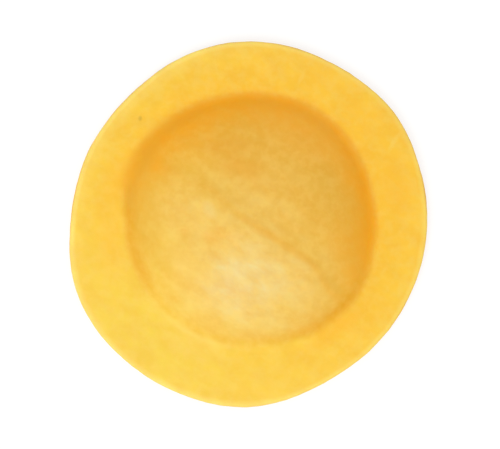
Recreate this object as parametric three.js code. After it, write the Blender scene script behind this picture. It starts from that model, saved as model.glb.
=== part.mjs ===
// A stamped round of fresh filled pasta: two thin rounds of egg dough, pressed together at a wide flat
// rim round a low dome of soft filling. Millimetres, +Z up, standing on z = 0. The origin is the middle
// of the underside. Seen from above, +X is to the right and +Y away.
import * as THREE from "three";

const { smoothstep, lerp, clamp, degToRad } = THREE.MathUtils;

// The dome's meridian, from its middle out to the rim
const crownRadius = 16.3; // the gently curved top, out to its shoulder
const sideWidth = 6; // the steeper side, from the shoulder out to the foot
const crownRise = 3; // rise of the long curve that spans the whole dome
const sideRise = 2.4; // further rise of the side
const shoulderRound = 3.4; // half the width over which the crown turns into the side
const footRound = 1.1; // half the width over which the side turns into the rim

// The pressed rim and the two rolled sheets
const rimWidth = 9.3; // from the dome's foot out to the cut edge
const upperThickness = 1;
const lowerThickness = 1.1;
const edgeRound = 0.4; // the upper sheet's corner, turned over by the cutting ring
const lowerProud = 0.15; // how far the lower sheet shows past the upper one
const lowerBevel = 0.25; // the lower sheet's corner, where the cut met the board

// The filling inside
const fillingClearance = 0.3; // between the filling and the sheet that lies over it
const fillingFoot = 0.5; // height of the mound's blunt edge

// The soft ridge right across the dome, and the small step down in the dough just beyond it
const ridgeHeight = 0.42;
const ridgeSpread = 4;
const ridgeReach = 20; // along the ridge, which dies away towards both ends
const ridgeSetback = -1.6; // from the dome's middle, in the direction that the ridge faces
const ridgeFacing = degToRad(57); // the ridge runs square to this direction
const stepDrop = 0.14;
const stepWidth = 2.6;
const stepSetback = 0.2;

// Where hand pressing left the dome and the rim uneven
const lumpHeight = 0.25;
const rimWaveHeight = 0.1;
const pocketShiftX = 0.35; // how far the dome sits off the cut's middle
const pocketShiftY = 0.6;

// Slow swellings of the two outlines: how many to a turn, their share of the radius, and the direction
// of a crest
const cutSwells = [
  { count: 2, radiusShare: 0.0235, crest: degToRad(54) },
  { count: 3, radiusShare: 0.005, crest: degToRad(102) },
  { count: 4, radiusShare: 0.004, crest: degToRad(15) },
  { count: 6, radiusShare: 0.005, crest: degToRad(32) },
];
const pocketSwells = [
  { count: 2, radiusShare: 0.024, crest: degToRad(133) },
  { count: 3, radiusShare: 0.0115, crest: degToRad(57) },
  { count: 4, radiusShare: 0.0125, crest: degToRad(51) },
];
const rimWaves = [
  { count: 2, heightShare: 1, crest: degToRad(250) },
  { count: 5, heightShare: 0.6, crest: degToRad(20) },
];

// Lumps of filling under the dough and hollows between them. Places and spreads are shares of the
// crown's radius, heights are shares of the lump height.
const lumps = [
  { xShare: 0.05, yShare: -0.6, spreadShare: 0.32, heightShare: 1 },
  { xShare: -0.52, yShare: -0.05, spreadShare: 0.26, heightShare: 0.7 },
  { xShare: 0.55, yShare: -0.42, spreadShare: 0.24, heightShare: 0.6 },
  { xShare: -0.28, yShare: -0.3, spreadShare: 0.16, heightShare: -0.5 },
  { xShare: 0.3, yShare: 0.5, spreadShare: 0.3, heightShare: 0.6 },
  { xShare: -0.12, yShare: 0.4, spreadShare: 0.18, heightShare: -0.6 },
];

// Facets
const turnSteps = 64;
const crownSteps = 8;
const sideSteps = 10;
const rimSteps = 3;
const edgeSteps = 3;

// Radii and heights that follow
const domeRadius = crownRadius + sideWidth;
const rimStart = domeRadius + footRound;
const cutRadius = domeRadius + rimWidth;
const sealHeight = lowerThickness; // where the two sheets meet
const rimHeight = sealHeight + upperThickness;
const steepestSlope = Math.atan(sideRise / sideWidth + (2 * crownRise) / domeRadius);

// How far a skin of a given thickness draws in, to be as thick on the dome's side as on its top
const drawIn = (thickness) => thickness * Math.tan(steepestSlope / 2);

// Distance past a corner, or nothing before it, eased over a width to either side of the corner
function bend(distance, round) {
  return round * clamp((distance + round) / (2 * round), 0, 1) ** 2 + Math.max(distance - round, 0);
}

// Height of the dome's curve over the plane that it rises from
function domeHeight(radius) {
  const inward = bend(domeRadius - radius, footRound);
  const crown = crownRise * (1 - (1 - inward / domeRadius) ** 2);
  const side = (sideRise / sideWidth) * (inward - bend(crownRadius - radius, shoulderRound));
  return crown + side;
}

// The radius at which the dome's curve has come down to a height
function radiusAtHeight(height) {
  let inner = 0;
  let outer = rimStart;
  for (let halving = 0; halving < 40; halving++) {
    const middle = (inner + outer) / 2;
    if (domeHeight(middle) > height) inner = middle;
    else outer = middle;
  }
  return outer;
}

// Values after the first, in equal steps up to the last
const steps = (first, last, count) =>
  Array.from({ length: count }, (_, step) => lerp(first, last, (step + 1) / count));

// Radii for a skin of the dome, from its axis to its outer edge, closest together down the side
function domeRadii(outerRadius, setIn) {
  const shoulder = crownRadius - shoulderRound - setIn;
  return [0, ...steps(0, shoulder, crownSteps), ...steps(shoulder, outerRadius, sideSteps)];
}

// Turns a profile of [radius, height] points about +Z
function turn(profile) {
  const points = profile.map(([radius, height]) => new THREE.Vector2(radius, height));
  return new THREE.LatheGeometry(points, turnSteps).rotateX(Math.PI / 2);
}

const swell = (swells, angle) =>
  swells.reduce((sum, s) => sum + s.radiusShare * Math.cos(s.count * (angle - s.crest)), 0);

const rimWave = (angle) =>
  rimWaves.reduce((sum, w) => sum + w.heightShare * Math.cos(w.count * (angle - w.crest)), 0);

// Height that the ridge, the step and the lumps add to the dome, at a place seen from its middle
function domeRelief(x, y) {
  const across = x * Math.cos(ridgeFacing) + y * Math.sin(ridgeFacing) - ridgeSetback;
  const along = x * Math.sin(ridgeFacing) - y * Math.cos(ridgeFacing);
  const ridge = ridgeHeight * Math.exp(-((across / ridgeSpread) ** 2));
  const step = stepDrop * smoothstep(across, stepSetback, stepSetback + stepWidth);
  const crossing = (ridge - step) * Math.exp(-((along / ridgeReach) ** 2));
  const raised = lumps.reduce((sum, l) => {
    const apart = Math.hypot(x - l.xShare * crownRadius, y - l.yShare * crownRadius);
    return sum + l.heightShare * Math.exp(-((apart / (l.spreadShare * crownRadius)) ** 2));
  }, 0);
  return crossing + lumpHeight * raised;
}

// Takes a true round to the hand-made one. Heights up to the plane where the sheets meet stay true, so
// that the sheets and the filling lie flat on each other.
function shapeByHand(geometry) {
  const position = geometry.getAttribute("position");
  for (let i = 0; i < position.count; i++) {
    const x = position.getX(i);
    const y = position.getY(i);
    const z = position.getZ(i);
    const radius = Math.hypot(x, y);
    const angle = Math.atan2(y, x);
    const rimShare = smoothstep(radius, domeRadius, cutRadius);
    const domeShare = 1 - smoothstep(radius, crownRadius, domeRadius);
    const liftShare = clamp((z - sealHeight) / upperThickness, 0, 1);
    const spread = 1 + lerp(swell(pocketSwells, angle), swell(cutSwells, angle), rimShare);
    const lift = domeShare * domeRelief(x, y) + rimShare * rimWaveHeight * rimWave(angle);
    position.setXYZ(
      i,
      x * spread + pocketShiftX * (1 - rimShare),
      y * spread + pocketShiftY * (1 - rimShare),
      z + liftShare * lift,
    );
  }
  geometry.computeVertexNormals();
  return geometry;
}

function bottomSheet() {
  const outerRadius = cutRadius + lowerProud;
  return turn([
    [0, 0],
    [outerRadius - lowerBevel, 0],
    [outerRadius, lowerBevel],
    [outerRadius, sealHeight],
    [0, sealHeight],
  ]);
}

// The mound keeps its clearance all over, square to the sheet that is draped on it
function filling() {
  const setIn = drawIn(upperThickness + fillingClearance);
  const footRadius = radiusAtHeight(fillingClearance + fillingFoot) - setIn;
  const skin = domeRadii(footRadius, setIn).map((radius) => [
    radius,
    sealHeight + domeHeight(radius + setIn) - fillingClearance,
  ]);
  return turn([[0, sealHeight], [footRadius, sealHeight], ...skin.reverse()]);
}

// The draped sheet is as thick down the dome's side as on its crown and its rim
function topSheet() {
  const setIn = drawIn(upperThickness);
  const inside = domeRadii(rimStart - setIn, setIn).map((radius) => [
    radius,
    sealHeight + domeHeight(radius + setIn),
  ]);
  const corner = [0, ...steps(0, Math.PI / 2, edgeSteps)].map((turned) => [
    cutRadius - edgeRound * (1 - Math.cos(turned)),
    rimHeight - edgeRound * (1 - Math.sin(turned)),
  ]);
  const outside = [...domeRadii(rimStart, 0), ...steps(rimStart, cutRadius - edgeRound, rimSteps)]
    .slice(0, -1)
    .map((radius) => [radius, rimHeight + domeHeight(radius)]);
  return turn([...inside, [cutRadius, sealHeight], ...corner, ...outside.reverse()]);
}

function piece(name, geometry, color, roughness) {
  const material = new THREE.MeshStandardMaterial({ color, roughness, metalness: 0 });
  const mesh = new THREE.Mesh(shapeByHand(geometry), material);
  mesh.name = name;
  return mesh;
}

const raviolo = new THREE.Group();
raviolo.add(piece("bottom_sheet", bottomSheet(), "#f6c450", 0.55));
raviolo.add(piece("filling", filling(), "#f3e7c6", 0.7));
raviolo.add(piece("top_sheet", topSheet(), "#fbc949", 0.5));

export default raviolo;
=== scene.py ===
import math

import bpy
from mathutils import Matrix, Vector, noise


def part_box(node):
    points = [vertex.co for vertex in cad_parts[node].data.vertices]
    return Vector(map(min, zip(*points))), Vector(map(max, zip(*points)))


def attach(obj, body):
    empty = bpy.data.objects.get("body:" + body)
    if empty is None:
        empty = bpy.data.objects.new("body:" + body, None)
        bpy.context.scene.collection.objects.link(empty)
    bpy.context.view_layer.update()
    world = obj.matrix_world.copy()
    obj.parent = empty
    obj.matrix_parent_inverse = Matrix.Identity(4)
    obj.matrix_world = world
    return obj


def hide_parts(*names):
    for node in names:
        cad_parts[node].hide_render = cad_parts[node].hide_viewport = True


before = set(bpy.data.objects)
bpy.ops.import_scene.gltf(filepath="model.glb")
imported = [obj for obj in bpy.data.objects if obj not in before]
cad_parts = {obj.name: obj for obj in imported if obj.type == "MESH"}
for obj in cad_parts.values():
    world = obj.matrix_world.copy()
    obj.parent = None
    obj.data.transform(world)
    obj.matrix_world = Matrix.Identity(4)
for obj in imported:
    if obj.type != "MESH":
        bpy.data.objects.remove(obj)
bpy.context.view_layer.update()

mm = 0.001
hair = 0.01 * mm  # points closer than this are the same place
netHair = 0.002 * mm  # finer, for the tight corners of a square net
cornerMiddle = 0.3  # how far a round corner's middle is set in, as a share of its radius
noiseRoughness = 0.55  # how strong the finer parts of each noise in a finish are

# The hand-made form that both sheets and the filling share. Seen from above, +X is right and +Y away.
form = {
    "sealHeight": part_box("bottom_sheet")[1].z,  # where the two sheets meet
    "sheetThickness": 1 * mm,
    "crownRadius": 16.3 * mm,  # gently curved top of the dome
    "sideWidth": 6 * mm,
    "crownRise": 3 * mm,
    "sideRise": 2.4 * mm,
    "shoulderRound": 3.4 * mm,
    "footRound": 1.1 * mm,
    "rimWidth": 9.3 * mm,
    "pocketShift": Vector((0.35 * mm, 0.6 * mm)),  # how far the dome sits off the cut's middle
    # the ridge across the dome, and the small step down just beyond it
    "ridgeHeight": 0.42 * mm,
    "ridgeSpread": 4 * mm,
    "ridgeReach": 20 * mm,  # it dies away towards both ends
    "ridgeSetback": -1.6 * mm,
    "ridgeFacing": math.radians(57),
    "ridgeBow": 1.1 * mm,  # a bulge in its line
    "ridgeBowPlace": -8 * mm,
    "ridgeBowReach": 4.5 * mm,
    "ridgeTurn": 2.2 * mm,  # how far it turns down at its right end
    "ridgeTurnRange": (11 * mm, 22 * mm),
    "stepDrop": 0.14 * mm,
    "stepWidth": 2.6 * mm,
    "stepSetback": 0.2 * mm,
    # slow swellings: how many to a turn, share of the radius or height, direction of a crest in degrees
    "cutSwells": [(2, 0.0235, 54), (3, 0.005, 102), (4, 0.004, 15), (6, 0.005, 32)],
    "cutWaves": [(4, 0.0012, 4), (5, 0.0027, 50), (7, 0.0021, 49), (9, 0.0019, 36)],
    "pocketSwells": [(2, 0.024, 133), (3, 0.0115, 57), (4, 0.0125, 51)],
    "rimWaves": [(2, 1, 250), (5, 0.6, 20)],
    "rimWaveHeight": 0.1 * mm,
    # fine unevenness of the cut, alike in both sheets: the share and the size of each grain
    "cutWander": 0.1 * mm,
    "cutGrains": [(0.45, 4.2 * mm), (0.5, 1.3 * mm)],
    "cutBand": 2 * mm,  # how far in from the cut it is felt
    # lumps and hollows: place and spread as shares of the crown's radius, height as a share
    "lumpHeight": 0.25 * mm,
    "lumps": [
        (0.05, -0.6, 0.32, 1),
        (-0.52, -0.05, 0.26, 0.7),
        (0.55, -0.42, 0.24, 0.6),
        (-0.28, -0.3, 0.16, -0.5),
        (0.3, 0.5, 0.3, 0.6),
        (-0.12, 0.4, 0.18, -0.6),
    ],
}
domeRadius = form["crownRadius"] + form["sideWidth"]
rimStart = domeRadius + form["footRound"]
cutRadius = domeRadius + form["rimWidth"]
rimHeight = form["sealHeight"] + form["sheetThickness"]
steepestSlope = math.atan(form["sideRise"] / form["sideWidth"] + 2 * form["crownRise"] / domeRadius)


def clamp(value):
    return min(max(value, 0.0), 1.0)


def smooth(value, low, high):
    share = clamp((value - low) / (high - low))
    return share * share * (3 - 2 * share)


def mound(distance, spread):
    return math.exp(-((distance / spread) ** 2))


def between(first, last, share):
    return first + (last - first) * share


def steps(first, last, count):
    return [between(first, last, (step + 1) / count) for step in range(count)]


def rings(first, last, gap):
    return steps(first, last, max(2, round(abs(last - first) / gap)))


# How far a face is set in from the one above it, so that a sheet keeps its thickness on the dome's side
def drawIn(thickness):
    return thickness * math.tan(steepestSlope / 2)


# The distance, or 0 where it is negative, with the bend between the two rounded
def bend(distance, rounding):
    eased = rounding * clamp((distance + rounding) / (2 * rounding)) ** 2
    return eased + max(distance - rounding, 0.0)


def domeHeight(radius):
    inward = bend(domeRadius - radius, form["footRound"])
    crown = form["crownRise"] * (1 - (1 - inward / domeRadius) ** 2)
    past = bend(form["crownRadius"] - radius, form["shoulderRound"])
    return crown + form["sideRise"] / form["sideWidth"] * (inward - past)


def swell(swells, angle):
    return sum(share * math.cos(count * (angle - math.radians(crest))) for count, share, crest in swells)


# How far an angle is turned from a direction in degrees. The result is in radians, at most half a turn.
def turnedFrom(angle, direction):
    return math.remainder(angle - math.radians(direction), math.tau)


# 1 in a direction, 0 opposite it
def towards(angle, direction):
    return 0.5 + 0.5 * math.cos(turnedFrom(angle, direction))


# Soft bumps round the dome: direction in degrees, spread in radians, amount
def bumpsRound(bumps, angle):
    return sum(amount * mound(turnedFrom(angle, middle), spread) for middle, spread, amount in bumps)


# Soft round patches, seen from above: x, y and spread in mm, amount
def patches(rows, place):
    return sum(
        amount * mound(math.hypot(place.x - x * mm, place.y - y * mm), spread * mm)
        for x, y, spread, amount in rows
    )


def alongRidge(x, y):
    facing = form["ridgeFacing"]
    return x * math.sin(facing) - y * math.cos(facing)


# The ridge wanders a little from a straight line, and turns down at its right end
def acrossRidge(x, y):
    facing = form["ridgeFacing"]
    along = alongRidge(x, y)
    drift = form["ridgeBow"] * mound(along - form["ridgeBowPlace"], form["ridgeBowReach"])
    drift -= form["ridgeTurn"] * smooth(along, *form["ridgeTurnRange"])
    return x * math.cos(facing) + y * math.sin(facing) - form["ridgeSetback"] - drift


def domeRelief(x, y):
    across = acrossRidge(x, y)
    start = form["stepSetback"]
    relief = form["ridgeHeight"] * mound(across, form["ridgeSpread"])
    relief -= form["stepDrop"] * smooth(across, start, start + form["stepWidth"])
    relief *= mound(alongRidge(x, y), form["ridgeReach"])
    for xShare, yShare, spreadShare, heightShare in form["lumps"]:
        reach = form["crownRadius"]
        apart = math.hypot(x - xShare * reach, y - yShare * reach)
        relief += form["lumpHeight"] * heightShare * mound(apart, spreadShare * reach)
    return relief


# The cutting ring was pressed down by hand, so the edge isn't quite smooth
def cutWander(angle):
    around = Vector((math.cos(angle), math.sin(angle), 0)) * cutRadius
    rough = sum(share * noise.noise(around / size) for share, size in form["cutGrains"])
    return swell(form["cutWaves"], angle) * cutRadius + form["cutWander"] * rough


# Modelling helpers: all that is selected is let go first, then one body is made in edit mode
def beginPiece(name, start):
    bpy.ops.object.select_all(action="DESELECT")
    bpy.ops.mesh.primitive_plane_add(size=mm, location=(0, 0, 0))
    piece = bpy.context.object
    piece.name = name
    bpy.ops.object.mode_set(mode="EDIT")
    bpy.ops.mesh.select_all(action="SELECT")
    bpy.ops.mesh.merge(type="CENTER")
    bpy.ops.transform.translate(value=start)
    return piece


def spinOutline(outline, turnSteps):
    for here, there in zip(outline, outline[1:]):
        move = (there[0] - here[0], 0, there[1] - here[1])
        bpy.ops.mesh.extrude_vertices_move(TRANSFORM_OT_translate={"value": move})
    bpy.ops.mesh.select_all(action="SELECT")
    bpy.ops.mesh.spin(steps=turnSteps, angle=math.tau, center=(0, 0, 0), axis=(0, 0, 1))
    bpy.ops.mesh.select_all(action="SELECT")
    bpy.ops.mesh.remove_doubles(threshold=hair)


# Closes the round hole left at an outline's end with a square net, so no pole is left on the axis
def closeEye(piece, radius, height, turnSteps):
    bpy.ops.object.mode_set(mode="OBJECT")
    for vertex in piece.data.vertices:
        out = math.hypot(vertex.co.x, vertex.co.y)
        vertex.select = abs(out - radius) < hair and abs(vertex.co.z - height) < hair
    for edge in piece.data.edges:
        edge.select = all(piece.data.vertices[end].select for end in edge.vertices)
    for face in piece.data.polygons:
        face.select = False
    bpy.ops.object.mode_set(mode="EDIT")
    bpy.ops.mesh.fill_grid(span=turnSteps // 4)


# A closed round body. Its outline is a list of radius and height, from one eye to the other.
def spunPiece(name, outline, turnSteps):
    radius, height = outline[0]
    piece = beginPiece(name, (radius, 0, height))
    spinOutline(outline, turnSteps)
    closeEye(piece, *outline[0], turnSteps)
    closeEye(piece, *outline[-1], turnSteps)
    bpy.ops.mesh.select_all(action="SELECT")
    bpy.ops.mesh.remove_doubles(threshold=netHair)
    bpy.ops.mesh.normals_make_consistent(inside=False)
    bpy.ops.object.mode_set(mode="OBJECT")
    bpy.ops.object.shade_smooth()
    return piece


# Turns a true round into the hand-made one and gives the places as they were. Heights up to the seal stay.
def shapeByHand(piece, eyeRadius, eyeHeights, detail=None, edgeStray=None):
    facing = [vertex.normal.z > 0 for vertex in piece.data.vertices]
    places = [vertex.co.copy() for vertex in piece.data.vertices]
    shaped = []
    for place, up in zip(places, facing):
        radius = math.hypot(place.x, place.y)
        angle = math.atan2(place.y, place.x)
        if radius < eyeRadius - hair:
            place.z = eyeHeights(radius, up)
        rimShare = smooth(radius, domeRadius, cutRadius)
        domeShare = 1 - smooth(radius, form["crownRadius"], domeRadius)
        liftShare = clamp((place.z - form["sealHeight"]) / form["sheetThickness"])
        spread = 1 + between(swell(form["pocketSwells"], angle), swell(form["cutSwells"], angle), rimShare)
        stray = cutWander(angle) + (edgeStray(angle) if edgeStray else 0)
        spread += stray / cutRadius * smooth(radius, cutRadius - form["cutBand"], cutRadius)
        lift = domeShare * domeRelief(place.x, place.y)
        lift += rimShare * form["rimWaveHeight"] * swell(form["rimWaves"], angle)
        if detail:
            lift += detail(place, radius, angle)
        shift = form["pocketShift"] * (1 - rimShare)
        shaped += [place.x * spread + shift.x, place.y * spread + shift.y, place.z + liftShare * lift]
    piece.data.vertices.foreach_set("co", shaped)
    piece.data.update()
    return places


# Writes an attribute for each tone, from what tonesAt gives for one place
def writeTones(piece, places, tonesAt):
    rows = [tonesAt(place, math.hypot(place.x, place.y), math.atan2(place.y, place.x)) for place in places]
    for name in rows[0]:
        values = [row[name] for row in rows]
        piece.data.attributes.new(name, "FLOAT", "POINT").data.foreach_set("value", values)


# Painted light in both sheets: the dough is yellower and paler towards the lamp's side
paintedLampSide = {
    "litFacing": 235,  # painted light: yellower and paler in this direction, where the lamp is
    "litRange": (-24 * mm, 34 * mm),
    "litPatch": [(230, 0.6, 1)],  # most of all in this part of the rim
    "patchShare": 0.34,
    "patchRange": (20 * mm, 24 * mm),
    "litFarEdge": [(120, 0.65, 0.3)],  # and painted lighter along this part of the cut
    "litFarEdgeRange": (24 * mm, 28.5 * mm),
}


def paintedLampSideTone(radius, angle):
    made = paintedLampSide
    forward = radius * math.cos(turnedFrom(angle, made["litFacing"]))
    patchShare = made["patchShare"] * smooth(radius, *made["patchRange"])
    patch = bumpsRound(made["litPatch"], angle)
    edge = bumpsRound(made["litFarEdge"], angle) * smooth(radius, *made["litFarEdgeRange"])
    return between(smooth(forward, *made["litRange"]), patch, patchShare) + edge


# The upper sheet of dough, draped over the filling and pressed flat round it. Places by the crease count
# outwards from its deepest line, places by the cut outwards from the cut, and heights up from the rim, so
# inwards and down are negative.
upperDough = {
    "turnSteps": 320,
    "eyeRadius": 11.5 * mm,  # inside this the net is square
    "ringGap": 0.34 * mm,
    "innerRingGap": 0.9 * mm,
    "cornerRound": 0.42 * mm,
    "cornerSteps": 6,
    "seamRound": 0.1 * mm,  # soft lower corner, over the seam
    # print of the stamp's inner edge, and how far inside the dome's foot it is
    "creaseDepth": 0.2 * mm,
    "creaseWidth": 1.1 * mm,
    "creaseSetIn": 0.9 * mm,
    "creaseFarShift": -0.45 * mm,
    "creaseShifts": [
        (286, 0.3, 0.6 * mm),
        (338, 0.45, 0.25 * mm),
        (130, 0.42, 0.5 * mm),
        (177, 0.16, 0.4 * mm),
        (347, 0.12, 0.35 * mm),
    ],
    # it is broad on the side away from the lamp, where its colour is painted shade, and each end of the
    # broad part fades over this many degrees from there
    "farFacing": 76,
    "farLeftEnd": (72, 112),
    "farRightEnd": (84, 124),
    # elsewhere it is a thin line, whose dark colour is painted shade deep in the crease, lost at the near
    # left where the lamp fills it
    "lostFacing": 228,
    "lineStrength": 1.15,
    "lineLean": 0.45,
    "lineEasing": 0.9,
    "lineBumps": [(318, 0.48, 0.45), (282.43, 0.2, -0.2), (174.714, 0.25, 0.3), (203.936, 0.2, 0.32)],
    "beadHeight": 0.06 * mm,  # dough pushed up outside the print, near side
    "beadPlace": 1.9 * mm,
    "beadWidth": 0.8 * mm,
    "lipDrop": 0.06 * mm,  # the rim thins out just before the cut
    "lipWidth": 2.2 * mm,
    # wrinkles along the ridge, and the shallow hollow beyond it
    "wrinkleHeight": 0.035 * mm,
    "wrinkleLength": 9 * mm,
    "wrinkleWidth": 1.1 * mm,
    "wrinkleLayer": 3,  # which slice of the noise they are
    "wrinkleDrift": 1.2 * mm,
    "driftSize": 5 * mm,
    "nearWrinkles": 0.35,  # share of them that is left before the ridge
    "wrinkleRange": (-2 * mm, 3 * mm),
    "hollowDepth": 0.12 * mm,
    "hollowPlace": 3.6 * mm,
    "hollowWidth": 2.7 * mm,
    "grainHeight": 0.03 * mm,
    "grainSize": 1.6 * mm,
    "rimRipple": 0.07 * mm,
    "rippleSize": 6 * mm,
    # colour in the crease, a deeper orange and painted shade: how far it reaches each way, and where it is
    # weaker
    "creaseInside": 4 * mm,
    "insideMore": [(120, 0.5, 1.6 * mm), (-15, 0.45, 1.4 * mm), (70, 0.5, 0.9 * mm)],
    "creaseOutside": 1.12 * mm,
    "outsideMore": [(130, 0.5, 0.3 * mm), (352, 0.3, 0.28 * mm)],
    "creaseWeaker": [(54, 0.45, 0.15)],
    "lineInside": 1.2 * mm,
    "lineInsideMore": [(178, 0.45, 0.9 * mm)],
    "lineOutside": 1 * mm,
    "domeEdge": (0.3 * mm, 1.7 * mm),
    # paler where the filling lies close under the dough, and a painted sheen on the face before the ridge,
    # which turns to the lamp: before the ridge, beyond it, and anywhere
    "paleAndSheenWashes": [(1.6, -9.2, 8.5, 0.6), (1.6, -9.2, 16, 0.36)],
    "farWashes": [(0, 0, 10, 0.29)],
    "washes": [
        (-8.5, -14, 8, 0.05),
        (-12, 2, 4, 0.24),
        (-4.2, -11.2, 3.6, 0.36),
        (12.5, -7, 5, 0.16),
        (5.6, -13.4, 3.6, -0.24),
        (-3.5, -5.2, 3.4, -0.13),
    ],
    "washTurn": 1.2 * mm,  # where near turns to far, in two steps
    "washSteps": [(0.4, -1.2 * mm, 1.2 * mm), (0.6, -0.5 * mm, 6.5 * mm)],
    "washEdge": (-1 * mm, 0.8 * mm),
    # painted shade along the fold's groove, fainter at its left and turned down at its right
    "foldShare": 0.7,
    "foldWidth": 0.76 * mm,
    "foldPlace": 1.4 * mm,
    "foldTurn": 0.8 * mm,
    "foldTurnRange": (12 * mm, 18 * mm),
    "foldMiddle": 3 * mm,
    "foldEnds": (12.5 * mm, 22 * mm),
    "foldFaint": 0.45,
    "foldFaintRange": (-4 * mm, 3 * mm),
    # painted shade in a ring beyond the ridge, where the dome turns from the lamp, and at the lower right
    "duskShare": 0.3,
    "duskRadius": 13 * mm,
    "duskSpread": 4.3 * mm,
    "duskRange": (3 * mm, 8 * mm),
    "lowDusk": [(318, 0.4, 0.28)],
    "lowDuskRadius": 19 * mm,
    "lowDuskSpread": 3 * mm,
    # painted highlight: brighter on the lip, less so down the wall, a little over the rim, in a streak
    # beside the crease, and along the far part of the cut
    "lipFacing": 195,
    "lipShares": (0.5, 0.95),
    "lipRange": (-1.2 * mm, -0.4 * mm),
    "wallShare": 0.3,
    "wallRange": (-0.5 * mm, -0.1 * mm),
    "rimFacing": -25,
    "rimShares": (0.04, 0.08),
    "rimSetOut": 2 * mm,
    "streak": [(-117, 0.3, 0.5)],
    "streakPlace": 1.5 * mm,
    "streakWidth": 0.55 * mm,
    "farLip": [(136, 0.75, 0.45)],
    "farLipRange": (-3.6 * mm, -1 * mm),
    # the cut wall
    "cutHeights": (-0.45 * mm, -0.15 * mm),
    "cutRange": (-0.3 * mm, -0.05 * mm),
}


def upperOutline():
    made = upperDough
    eye = made["eyeRadius"]
    corner = made["cornerRound"]
    seam = made["seamRound"]
    base = form["sealHeight"]
    setIn = drawIn(form["sheetThickness"])
    innerFoot = rimStart - setIn
    inner = [eye, *rings(eye, innerFoot, made["innerRingGap"])]
    outline = [(radius, base + domeHeight(radius + setIn)) for radius in inner]
    under = rings(innerFoot, cutRadius, made["innerRingGap"])
    outline += [(min(radius, cutRadius - seam), base) for radius in under]
    outline.append((cutRadius - cornerMiddle * seam, base + cornerMiddle * seam))
    outline.append((cutRadius, base + seam))
    for turned in [0, *steps(0, math.pi / 2, made["cornerSteps"])]:
        out = cutRadius - corner * (1 - math.cos(turned))
        outline.append((out, rimHeight - corner * (1 - math.sin(turned))))
    outer = rings(cutRadius - corner, eye, made["ringGap"])
    outline += [(radius, rimHeight + domeHeight(radius)) for radius in outer]
    return outline


def upperSkinHeights(radius, outside):
    if outside:
        return rimHeight + domeHeight(radius)
    return form["sealHeight"] + domeHeight(radius + drawIn(form["sheetThickness"]))


def farShare(angle):
    made = upperDough
    turned = turnedFrom(angle, made["farFacing"])
    start, end = made["farLeftEnd"] if turned > 0 else made["farRightEnd"]
    return 1 - smooth(abs(turned), math.radians(start), math.radians(end))


def lineShare(angle):
    made = upperDough
    turned = turnedFrom(angle, made["lostFacing"])
    strength = made["lineStrength"] - made["lineLean"] * math.sin(turned)
    return abs(math.sin(turned / 2)) ** made["lineEasing"] * strength + bumpsRound(made["lineBumps"], angle)


def creasePast(radius, angle):
    made = upperDough
    setIn = made["creaseSetIn"] + made["creaseFarShift"] * farShare(angle)
    return radius - domeRadius + setIn + bumpsRound(made["creaseShifts"], angle)


def upperDetail(place, radius, angle):
    made = upperDough
    past = creasePast(radius, angle)
    share = max(farShare(angle), lineShare(angle))
    lift = -made["creaseDepth"] * mound(past, made["creaseWidth"]) * share
    lift += made["beadHeight"] * mound(past - made["beadPlace"], made["beadWidth"]) * (1 - farShare(angle))
    lift -= made["lipDrop"] * smooth(radius, cutRadius - made["lipWidth"], cutRadius)
    domeShare = 1 - smooth(radius, form["crownRadius"], domeRadius)
    along = alongRidge(place.x, place.y)
    across = acrossRidge(place.x, place.y)
    drift = noise.noise(Vector((along, across, 0)) / made["driftSize"]) * made["wrinkleDrift"]
    lengthwise = along / made["wrinkleLength"]
    crosswise = (across + drift) / made["wrinkleWidth"]
    wrinkle = noise.noise(Vector((lengthwise, crosswise, made["wrinkleLayer"])))
    wrinkled = between(made["nearWrinkles"], 1, smooth(across, *made["wrinkleRange"]))
    lift += made["wrinkleHeight"] * wrinkle * domeShare * wrinkled
    lift -= made["hollowDepth"] * mound(across - made["hollowPlace"], made["hollowWidth"]) * domeShare
    lift += made["grainHeight"] * noise.noise(place / made["grainSize"])
    lift += made["rimRipple"] * noise.noise(place / made["rippleSize"]) * (1 - domeShare)
    return lift


def creaseTintAndShadeTone(angle, past):
    made = upperDough
    if past < 0:
        reach = made["creaseInside"] + bumpsRound(made["insideMore"], angle)
    else:
        reach = made["creaseOutside"] + bumpsRound(made["outsideMore"], angle)
    return farShare(angle) * mound(past, reach) * (1 - bumpsRound(made["creaseWeaker"], angle))


# Painted shade along the crease's deepest line
def creaseLineShadeTone(angle, past):
    made = upperDough
    reach = made["lineOutside"]
    if past < 0:
        reach = made["lineInside"] + bumpsRound(made["lineInsideMore"], angle)
    return (1 - farShare(angle)) * lineShare(angle) * mound(past, reach)


def paleAndSheenTone(place, past):
    made = upperDough
    before = made["washTurn"] - acrossRidge(place.x, place.y)
    near = sum(share * smooth(before, start, end) for share, start, end in made["washSteps"])
    wash = between(patches(made["farWashes"], place), patches(made["paleAndSheenWashes"], place), near)
    wash += patches(made["washes"], place)
    return wash * (1 - smooth(past, *made["washEdge"]))


def foldShadeTone(place):
    made = upperDough
    along = alongRidge(place.x, place.y)
    line = made["foldPlace"] - made["foldTurn"] * smooth(along, *made["foldTurnRange"])
    share = made["foldShare"] * (1 - smooth(abs(along - made["foldMiddle"]), *made["foldEnds"]))
    share *= between(made["foldFaint"], 1, smooth(along, *made["foldFaintRange"]))
    return share * mound(acrossRidge(place.x, place.y) - line, made["foldWidth"])


def duskShadeTone(place, radius, angle):
    made = upperDough
    dusk = made["duskShare"] * mound(radius - made["duskRadius"], made["duskSpread"])
    dusk *= smooth(acrossRidge(place.x, place.y), *made["duskRange"])
    low = bumpsRound(made["lowDusk"], angle)
    return dusk + low * mound(radius - made["lowDuskRadius"], made["lowDuskSpread"])


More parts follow.
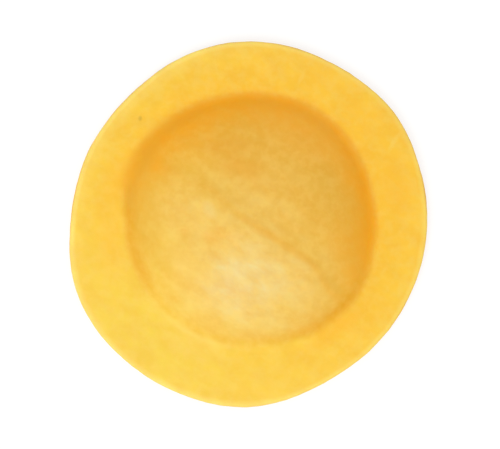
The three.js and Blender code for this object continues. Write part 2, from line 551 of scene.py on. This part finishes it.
def lipHighlightTone(place, radius, angle, past):
    made = upperDough
    lip = between(*made["lipShares"], towards(angle, made["lipFacing"]))
    lip *= smooth(radius - cutRadius, *made["lipRange"])
    lip *= between(made["wallShare"], 1, smooth(place.z - rimHeight, *made["wallRange"]))
    rim = between(*made["rimShares"], towards(angle, made["rimFacing"]))
    rim *= smooth(radius, domeRadius + made["rimSetOut"], cutRadius)
    streak = bumpsRound(made["streak"], angle) * mound(past - made["streakPlace"], made["streakWidth"])
    far = bumpsRound(made["farLip"], angle) * smooth(radius - cutRadius, *made["farLipRange"])
    return lip + rim + streak + far


def upperTones(place, radius, angle):
    made = upperDough
    past = creasePast(radius, angle)
    wall = 1 - smooth(place.z - rimHeight, *made["cutHeights"])
    return {
        "crease": creaseTintAndShadeTone(angle, past),
        "line": creaseLineShadeTone(angle, past),
        # darker over the dome, partly the dough over the filling and partly painted shade
        "dome": 1 - smooth(past, *made["domeEdge"]),
        "pale": paleAndSheenTone(place, past),
        "near": paintedLampSideTone(radius, angle),
        "fold": foldShadeTone(place),
        "dusk": duskShadeTone(place, radius, angle),
        "lip": lipHighlightTone(place, radius, angle, past),
        "cut": wall * smooth(radius - cutRadius, *made["cutRange"]),
    }


def makeUpperDough():
    made = upperDough
    piece = spunPiece("upperDough", upperOutline(), made["turnSteps"])
    places = shapeByHand(piece, made["eyeRadius"], upperSkinHeights, upperDetail)
    writeTones(piece, places, upperTones)
    print("upper dough:", len(piece.data.polygons), "faces")
    return piece


# The lower sheet, flat on the board
lowerDough = {
    "turnSteps": 320,
    "eyeRadius": 12 * mm,
    "ringGap": 0.9 * mm,
    "proud": 0.15 * mm,
    "bevel": 0.25 * mm,
    "bevelSteps": 3,
    "wallSteps": 3,
    "seamRound": 0.12 * mm,
    # how unevenly it shows past the upper sheet
    "stray": 0.16 * mm,
    "strayBias": -0.3,
    "straySize": 7 * mm,
    "strayLayer": 0.4,
    # a little paler where the filling lies on it, and the cut's own tone at the wall
    "paleShare": 0.16,
    "paleRange": (15 * mm, 21 * mm),
    "cutRange": (-0.3 * mm, 0.1 * mm),
}


def lowerOutline():
    made = lowerDough
    eye = made["eyeRadius"]
    bevel = made["bevel"]
    seam = made["seamRound"]
    top = form["sealHeight"]
    outer = cutRadius + made["proud"]
    underEnd = outer - bevel
    flat = outer - seam
    outline = [(radius, 0) for radius in [eye, *rings(eye, underEnd, made["ringGap"])]]
    for turned in steps(0, math.pi / 2, made["bevelSteps"]):
        outline.append((underEnd + bevel * math.sin(turned), bevel * (1 - math.cos(turned))))
    outline += [(outer, height) for height in steps(bevel, top - seam, made["wallSteps"])]
    outline.append((outer - cornerMiddle * seam, top - cornerMiddle * seam))
    outline += [(radius, top) for radius in [flat, *rings(flat, eye, made["ringGap"])]]
    return outline


def lowerStray(angle):
    made = lowerDough
    around = Vector((math.cos(angle), math.sin(angle), made["strayLayer"])) * cutRadius
    return made["stray"] * (noise.noise(around / made["straySize"]) + made["strayBias"])


def lowerTones(place, radius, angle):
    made = lowerDough
    return {
        "pale": made["paleShare"] * (1 - smooth(radius, *made["paleRange"])),
        "near": paintedLampSideTone(radius, angle),
        "cut": smooth(radius - cutRadius, *made["cutRange"]),
    }


def lowerHeights(radius, up):
    return form["sealHeight"] if up else 0


def makeLowerDough():
    made = lowerDough
    piece = spunPiece("lowerDough", lowerOutline(), made["turnSteps"])
    places = shapeByHand(piece, made["eyeRadius"], lowerHeights, edgeStray=lowerStray)
    writeTones(piece, places, lowerTones)
    print("lower dough:", len(piece.data.polygons), "faces")
    return piece


# The mound of filling, which nothing shows from outside
filling = {
    "turnSteps": 160,
    "eyeRadius": 9 * mm,
    "ringGap": 0.5 * mm,
    "baseRingGap": 1 * mm,
    "clearance": 0.3 * mm,
    "foot": 0.5 * mm,  # height of the mound's blunt edge
    "curdDepth": 0.12 * mm,
    "curds": [(1, 1.3 * mm), (0.5, 0.6 * mm)],  # share and size of each grain
}


def fillingHeight(radius):
    setIn = drawIn(form["sheetThickness"] + filling["clearance"])
    return form["sealHeight"] + domeHeight(radius + setIn) - filling["clearance"]


def fillingHeights(radius, up):
    return fillingHeight(radius) if up else form["sealHeight"]


def fillingOutline():
    made = filling
    eye = made["eyeRadius"]
    base = form["sealHeight"]
    foot = domeRadius
    while fillingHeight(foot) < base + made["foot"]:
        foot -= hair
    outline = [(radius, base) for radius in [eye, *rings(eye, foot, made["baseRingGap"])]]
    outline += [(radius, fillingHeight(radius)) for radius in [foot, *rings(foot, eye, made["ringGap"])]]
    return outline


def fillingDetail(place, radius, angle):
    grain = sum(share * noise.noise(place / size) for share, size in filling["curds"])
    return -filling["curdDepth"] * abs(grain)


def makeFilling():
    made = filling
    piece = spunPiece("cheeseFilling", fillingOutline(), made["turnSteps"])
    shapeByHand(piece, made["eyeRadius"], fillingHeights, fillingDetail)
    print("filling:", len(piece.data.polygons), "faces")
    return piece


upper = makeUpperDough()
lower = makeLowerDough()
mass = makeFilling()
print("pieces made")

# Finishes. A socket is wrapped so that masks read as plain sums, and any other node comes from make().
class Wire:
    def __init__(self, tree, socket=None):
        self.tree = tree
        self.socket = socket

    def make(self, kind, settings=None, sockets=None, output=0):
        node = self.tree.nodes.new(kind)
        for name, value in (settings or {}).items():
            if name == "stops":
                setStops(node.color_ramp, value)
            else:
                setattr(node, name, value)
        for name, value in (sockets or {}).items():
            plug(self.tree, value, node.inputs[name])
        return Wire(self.tree, node.outputs[output])

    def sum(self, operation, first, second):
        return self.make("ShaderNodeMath", {"operation": operation}, {0: first, 1: second})

    def __add__(self, other):
        return self.sum("ADD", self, other)

    def __radd__(self, other):
        return self.sum("ADD", other, self)

    def __sub__(self, other):
        return self.sum("SUBTRACT", self, other)

    def __rsub__(self, other):
        return self.sum("SUBTRACT", other, self)

    def __mul__(self, other):
        return self.sum("MULTIPLY", self, other)

    def __rmul__(self, other):
        return self.sum("MULTIPLY", other, self)


# a ramp's two stops, each its place and its shade of grey
def setStops(ramp, stops):
    for element, (place, shade) in zip(ramp.elements, stops):
        element.position = place
        element.color = (shade, shade, shade, 1)


def plug(tree, value, socket):
    if isinstance(value, Wire):
        tree.links.new(value.socket, socket)
    else:
        socket.default_value = value


# grain is its size, detail how finely it goes on, and low and high the noise that count as none and all
def noiseMask(start, place, grain, detail, low, high):
    made = start.make(
        "ShaderNodeTexNoise",
        {"noise_dimensions": "3D"},
        {"Vector": place, "Scale": 1 / grain, "Detail": detail, "Roughness": noiseRoughness},
    )
    return start.make("ShaderNodeValToRGB", {"stops": [(low, 0), (high, 1)]}, {"Fac": made})


# An oval smear, soft at its edge. All lengths are in mm, and the reaches are from its middle.
def markMask(start, place, spot, reaches, turn, edge):
    sockets = {"Vector": place, "Location": Vector((*spot, 0)) * mm}
    sockets["Scale"] = (reaches[0] * mm, reaches[1] * mm, 1)
    sockets["Rotation"] = (0, 0, math.radians(turn))
    moved = start.make("ShaderNodeMapping", {"vector_type": "TEXTURE"}, sockets)
    apart = start.make("ShaderNodeVectorMath", {"operation": "LENGTH"}, {0: moved}, output=1)
    return start.make("ShaderNodeValToRGB", {"stops": edge}, {"Fac": apart})


def tint(mask, ground, colour):
    return mask.make("ShaderNodeMix", {"data_type": "RGBA"}, {0: mask, 6: ground, 7: colour}, output=2)


def newMaterial(name):
    material = bpy.data.materials.new(name)
    material.use_nodes = True
    tree = material.node_tree
    surface = tree.nodes["Principled BSDF"]
    return material, tree, surface


def colour(red, green, blue):
    return (red, green, blue, 1)


doughFinish = {
    "rolled": colour(0.98, 0.572, 0.038),
    "deeper": colour(0.965, 0.505, 0.028),
    # painted light: yellower and paler on the lamp's side
    "near": colour(0.88, 0.652, 0.073),
    # deeper orange dough in the crease, darkened as painted shade
    "crease": colour(0.925, 0.39, 0.003),
    # painted shade: the thin dark line deep in the crease
    "line": colour(0.8, 0.37, 0.008),
    # painted shade in the fold's groove
    "fold": colour(0.86, 0.41, 0.025),
    # painted shade on the dome
    "dusk": colour(0.78, 0.355, 0.02),
    "shadow": colour(0.73, 0.405, 0.038),
    # darker over the dome: partly the dough over the filling, partly painted shade
    "dome": colour(0.792, 0.452, 0.054),
    # paler where the filling shows through, and painted sheen on the dome's face towards the lamp
    "pale": colour(0.852, 0.658, 0.25),
    # painted highlight along the cut's edge
    "lip": colour(1, 0.745, 0.165),
    "cut": colour(1, 0.5, 0.04),
    # painted light, lifting shaded parts
    "warm": colour(1, 0.46, 0.04),
    "pore": colour(0.78, 0.38, 0.02),
    "bloom": colour(0.95, 0.66, 0.14),
    "speck": colour(0.45, 0.24, 0.03),
    # grains: size, detail, and the noise that counts as none and as all
    "broadGrain": (9 * mm, 2, 0.35, 0.7),
    "blotchGrain": (2.6 * mm, 3, 0.35, 0.65),
    "speckGrain": (1.5 * mm, 2, 0.4, 0.65),
    "blotchTurn": math.radians(-33),  # blotches are drawn out along the ridge
    "blotchStretch": (1.7, 1, 1),
    # how strongly each tone is laid on, and how much of it comes and goes with a grain
    "deeperShare": 0.2,
    "lampSideLitShare": 0.8,
    "domeUnderLampSideLit": 0.92,
    "paleGrained": (0.88, 0.24),
    "duskGrained": (0.5, 0.3),
    "foldGrained": (0.55, 0.35),
    "creaseGrained": (0.9, 0.2),
    "cutGrained": (0.75, 0.2),
    "poreShare": 0.35,
    "rimPores": 0.65,  # share of the pores on the rim
    "bloomShare": 0.27,
    "creaseSmooth": 0.85,  # pores and bloom fade in the crease
    "lineSmooth": 0.5,
    "roughness": 0.5,
    "blotchGloss": 0.06,
    "speckDullness": 0.05,
    "bumpShares": (0.6, 0.4),  # of blotches and of specks
    "bumpStrength": 0.45,
    "bumpHeight": 0.05 * mm,
    "sheen": 0.25,
    "scatter": (1.0, 0.45, 0.12),
    "scatterReach": 0.7 * mm,
    "scatterShare": 0.25,
    "markEdge": [(0.35, 1), (1, 0)],  # full to the first share of its reach, gone at the second
    # single marks: middle, reach along and across, both in mm, turn in degrees, tone and share
    "marks": [
        ((-18.9, 18.6), (0.6, 0.45), 90, "speck", 0.35),
        ((25.6, 14.4), (2.6, 0.6), 59, "bloom", 0.35),
        ((9.4, 25.8), (2, 0.5), 65, "bloom", 0.3),
        ((-6.6, 2.5), (2.1, 1.3), 120, "pale", 0.35),
        ((-5.9, -1.9), (2.4, 1.9), 20, "fold", 0.3),
        # painted shade deepening the crease at the upper left
        ((-16, 10.4), (3.4, 1.7), -33, "crease", 0.42),
        ((-1, 9.7), (6.4, 2.3), -5, "dusk", 0.48),
        ((-3.2, 13.4), (6, 2.6), 0, "dusk", 0.4),
        ((-9.4, -21.6), (6.5, 2.8), -23, "bloom", 0.25),
        ((-24, 0.5), (12, 3.6), 88, "deeper", 0.26),
        ((25.6, 7), (7.5, 4.2), 105, "deeper", 0.42),
        ((20.5, 18), (6, 4), 131, "deeper", 0.25),
        ((20, -16.5), (7, 4.2), 50, "deeper", 0.3),
        ((-17.6, 1.5), (12, 3.8), 94, "shadow", 0.34),
        ((-18.4, 11.2), (6, 2.6), 60, "shadow", 0.34),
        ((18.3, -0.8), (8.5, 2.9), 90, "shadow", 0.28),
        ((-13.6, -5.4), (4, 3), 20, "shadow", 0.15),
        ((-13.9, 8), (3, 2.4), 60, "dusk", 0.2),
        # painted light lifting the dome's side away from the lamp
        ((9.2, 16), (12, 5.5), -30, "warm", 0.26),
        ((13, 5), (7, 4.5), 110, "shadow", 0.2),
        # these three deepen the crease at the left: painted shade
        ((-20.8, 9.3), (6, 2.6), 65, "crease", 0.2),
        ((-17.2, 13.6), (10, 2.4), 52, "line", 0.3),
        ((-22, 9.8), (6, 3.2), 66, "deeper", 0.22),
        ((1.8, 7), (4.2, 2.2), 0, "dusk", 0.18),
        ((10.4, -6), (2.8, 1), -33, "shadow", 0.2),
        ((14.2, -10.2), (3.4, 1.1), -40, "shadow", 0.3),
        # painted shade deepening the crease at the lower right
        ((15, -18.4), (7, 2.4), 39, "deeper", 0.55),
        # painted light: a lighter patch on the dome's side towards the lamp
        ((-8.1, -8.1), (3.2, 2.4), -45, "bloom", 0.24),
        ((-9.7, -2.6), (2.8, 2), 15, "shadow", 0.18),
        # these two use the speck colour as painted shade in the crease
        ((-11.2, 18.7), (5.5, 1.8), 31, "speck", 0.08),
        ((-20.7, 4.8), (3.6, 1.6), 77, "speck", 0.1),
    ],
}


def makeDoughMaterial():
    material, tree, surface = newMaterial("eggDough")
    look = doughFinish
    start = Wire(tree)
    place = start.make("ShaderNodeTexCoord", output="Object")
    tone = {
        name: start.make("ShaderNodeAttribute", {"attribute_name": name}, output="Fac")
        for name in ["crease", "line", "dome", "pale", "near", "fold", "dusk", "lip", "cut"]
    }
    drawnOut = start.make(
        "ShaderNodeMapping",
        {"vector_type": "TEXTURE"},
        {"Vector": place, "Rotation": (0, 0, look["blotchTurn"]), "Scale": look["blotchStretch"]},
    )
    broad = noiseMask(start, place, *look["broadGrain"])
    blotch = noiseMask(start, drawnOut, *look["blotchGrain"])
    speck = noiseMask(start, place, *look["speckGrain"])
    bare = 1 - look["creaseSmooth"] * tone["crease"] - look["lineSmooth"] * tone["line"]
    pores = look["rimPores"] + (1 - look["rimPores"]) * tone["dome"]

    def grained(name, grain):
        least, more = look[name + "Grained"]
        return tone[name] * (least + more * grain)

    shade = look["rolled"]
    for mask, name in [
        (look["deeperShare"] * broad, "deeper"),
        # painted light on the lamp's side
        (look["lampSideLitShare"] * tone["near"], "near"),
        # the dome's darker tone, partly painted shade, mostly lifted on the lamp's side
        (tone["dome"] * (1 - look["domeUnderLampSideLit"] * tone["near"]), "dome"),
        (grained("pale", blotch), "pale"),
        (grained("dusk", speck), "dusk"),
        (grained("fold", speck), "fold"),
        (grained("crease", blotch), "crease"),
        (tone["line"], "line"),
        (tone["lip"], "lip"),
        (grained("cut", blotch), "cut"),
        (look["poreShare"] * (1 - blotch) * pores * bare, "pore"),
        (look["bloomShare"] * speck * bare, "bloom"),
    ]:
        shade = tint(mask, shade, look[name])
    for spot, reaches, turn, name, share in look["marks"]:
        mark = markMask(start, place, spot, reaches, turn, look["markEdge"])
        shade = tint(share * mark, shade, look[name])
    plug(tree, shade, surface.inputs["Base Color"])
    roughness = look["roughness"] - look["blotchGloss"] * blotch + look["speckDullness"] * speck
    plug(tree, roughness, surface.inputs["Roughness"])
    blotchShare, speckShare = look["bumpShares"]
    relief = {"Height": blotchShare * blotch + speckShare * speck}
    relief.update({"Strength": look["bumpStrength"], "Distance": look["bumpHeight"]})
    plug(tree, start.make("ShaderNodeBump", {}, relief), surface.inputs["Normal"])
    surface.inputs["Specular IOR Level"].default_value = look["sheen"]
    surface.inputs["Subsurface Weight"].default_value = look["scatterShare"]
    surface.inputs["Subsurface Radius"].default_value = look["scatter"]
    surface.inputs["Subsurface Scale"].default_value = look["scatterReach"]
    return material


fillingFinish = {
    "curd": colour(0.9, 0.84, 0.66),
    "herb": colour(0.78, 0.68, 0.42),
    "grain": (1.1 * mm, 3, 0.35, 0.65),
    "roughness": 0.6,
    "grainGloss": 0.15,
    "bumpStrength": 0.5,
    "bumpHeight": 0.1 * mm,
}


def makeFillingMaterial():
    material, tree, surface = newMaterial("ricottaFilling")
    look = fillingFinish
    start = Wire(tree)
    place = start.make("ShaderNodeTexCoord", output="Object")
    grain = noiseMask(start, place, *look["grain"])
    plug(tree, tint(grain, look["curd"], look["herb"]), surface.inputs["Base Color"])
    plug(tree, look["roughness"] - look["grainGloss"] * grain, surface.inputs["Roughness"])
    relief = {"Height": grain, "Strength": look["bumpStrength"], "Distance": look["bumpHeight"]}
    plug(tree, start.make("ShaderNodeBump", {}, relief), surface.inputs["Normal"])
    return material


dough = makeDoughMaterial()
upper.data.materials.append(dough)
lower.data.materials.append(dough)
mass.data.materials.append(makeFillingMaterial())
print("finishes made")

# Camera, straight above, with a long lens
photoFrame = {
    "lens": 100,
    "sensor": 36,
    "pixel": 0.1754 * mm,  # what one pixel spans at the rim's height
    "width": 500,
    "height": 449,
    "middle": (247.9, 224.4),  # where the round's origin lies, in pixels from the upper left
    "clipping": (10 * mm, 10),
}


def makeCamera():
    look = photoFrame
    frameWidth = look["width"] * look["pixel"]
    distance = frameWidth * look["lens"] / look["sensor"]
    aimX = (look["width"] / 2 - look["middle"][0]) * look["pixel"]
    aimY = (look["middle"][1] - look["height"] / 2) * look["pixel"]
    bpy.ops.object.camera_add(location=(aimX, aimY, rimHeight + distance), rotation=(0, 0, 0))
    camera = bpy.context.object
    camera.name = "photoCamera"
    camera.data.lens = look["lens"]
    camera.data.sensor_width = look["sensor"]
    camera.data.clip_start, camera.data.clip_end = look["clipping"]
    bpy.context.scene.camera = camera


makeCamera()

# One large soft lamp from the lower left, over an even pale surround
studio = {
    "azimuth": math.radians(-125),
    "elevation": math.radians(56),
    "distance": 0.36,
    "lampSize": 0.2,
    "lampPower": 0.42,
    "ambient": 0.79,
    "floorWhite": 0.3,
    "floorGlow": 0.73,
    "floorBounce": 0.75,
    "floorSize": 4,
    "floorDrop": 0.02 * mm,
}


def makeLamp():
    look = studio
    out = math.cos(look["elevation"])
    across = math.cos(look["azimuth"]) * out
    away = math.sin(look["azimuth"]) * out
    outwards = Vector((across, away, math.sin(look["elevation"])))
    bpy.ops.object.light_add(type="AREA", location=outwards * look["distance"])
    lamp = bpy.context.object
    lamp.name = "softLamp"
    lamp.rotation_euler = outwards.to_track_quat("Z", "Y").to_euler()
    lamp.data.shape = "DISK"
    lamp.data.size = look["lampSize"]
    lamp.data.energy = look["lampPower"]


# rays from the camera, and those that metal or glass would bounce or pass on
def seenDirectly(start):
    rays = start.make("ShaderNodeLightPath").socket.node.outputs
    kinds = ["Is Camera Ray", "Is Glossy Ray", "Is Transmission Ray"]
    straight, glossy, through = [Wire(start.tree, rays[kind]) for kind in kinds]
    return start.sum("MAXIMUM", straight, start.sum("MAXIMUM", glossy, through))


def grey(level):
    return colour(level, level, level)


def makeWorld():
    world = bpy.data.worlds.new("paleSurround")
    world.use_nodes = True
    bpy.context.scene.world = world
    tree = world.node_tree
    start = Wire(tree)
    surround = tree.nodes["Background"]
    surround.inputs["Color"].default_value = grey(1)
    surround.inputs["Strength"].default_value = studio["ambient"]
    white = start.make("ShaderNodeBackground", {}, {"Color": grey(1), "Strength": 1})
    lit = Wire(tree, surround.outputs[0])
    both = start.make("ShaderNodeMixShader", {}, {0: seenDirectly(start), 1: lit, 2: white})
    plug(tree, both, tree.nodes["World Output"].inputs["Surface"])


def makeFloor():
    look = studio
    bpy.ops.object.select_all(action="DESELECT")
    bpy.ops.mesh.primitive_plane_add(size=look["floorSize"], location=(0, 0, -look["floorDrop"]))
    floor = bpy.context.object
    floor.name = "paleFloor"
    material, tree, surface = newMaterial("paleFloor")
    tree.nodes.remove(surface)
    start = Wire(tree)
    lit = start.make("ShaderNodeBsdfDiffuse", {}, {"Color": grey(look["floorWhite"])})
    glow = start.make("ShaderNodeEmission", {}, {"Color": grey(1), "Strength": look["floorGlow"]})
    shown = start.make("ShaderNodeAddShader", {}, {0: lit, 1: glow})
    bounce = start.make("ShaderNodeBsdfDiffuse", {}, {"Color": grey(look["floorBounce"])})
    both = start.make("ShaderNodeMixShader", {}, {0: seenDirectly(start), 1: bounce, 2: shown})
    plug(tree, both, tree.nodes["Material Output"].inputs["Surface"])
    floor.data.materials.append(material)


makeLamp()
makeWorld()
makeFloor()
bpy.context.scene.view_settings.view_transform = "Standard"
print("studio made")

for piece, node, slot in [
    (upper, "top_sheet", "egg_dough"),
    (lower, "bottom_sheet", "egg_dough"),
    (mass, "filling", "cheese_filling"),
]:
    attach(piece, "root")
    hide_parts(node)
